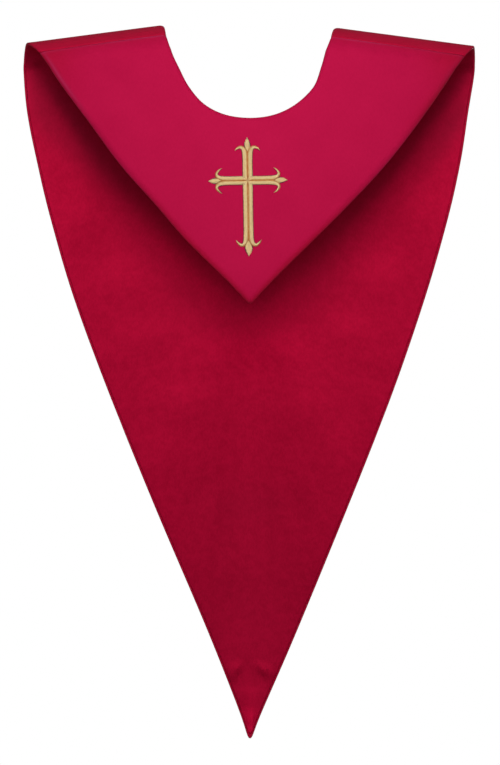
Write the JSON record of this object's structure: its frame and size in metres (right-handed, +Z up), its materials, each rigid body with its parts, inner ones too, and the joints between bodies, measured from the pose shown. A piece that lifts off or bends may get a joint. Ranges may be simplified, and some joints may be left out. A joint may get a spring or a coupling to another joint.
{
  "type": "choir stole",
  "caption": "V-neck choir stole in red satin, with a short pointed front, a long pointed back and an embroidered gold cross, in the hollow form it has when worn.",
  "frame": {"origin": "on the centre line between the two neck points, level with the underside of the cloth that rests on the wearer's shoulders there", "axes": "+Z up, -Y the way the wearer faces (the cross looks along -Y), X across the shoulders"},
  "size_m": [0.4541, 0.1368, 0.7177],
  "materials": {
    "face_satin": "crimson polyester satin with a soft sheen",
    "lining_satin": "the same satin, a little deeper in shade",
    "gold_thread": "gold rayon embroidery thread in raised satin stitch"
  },
  "bodies": {
    "root": {"front_panel": "face_satin", "back_panel": "face_satin", "back_lining": "lining_satin", "cross_embroidery": "gold_thread"}
  },
  "joints": []
}
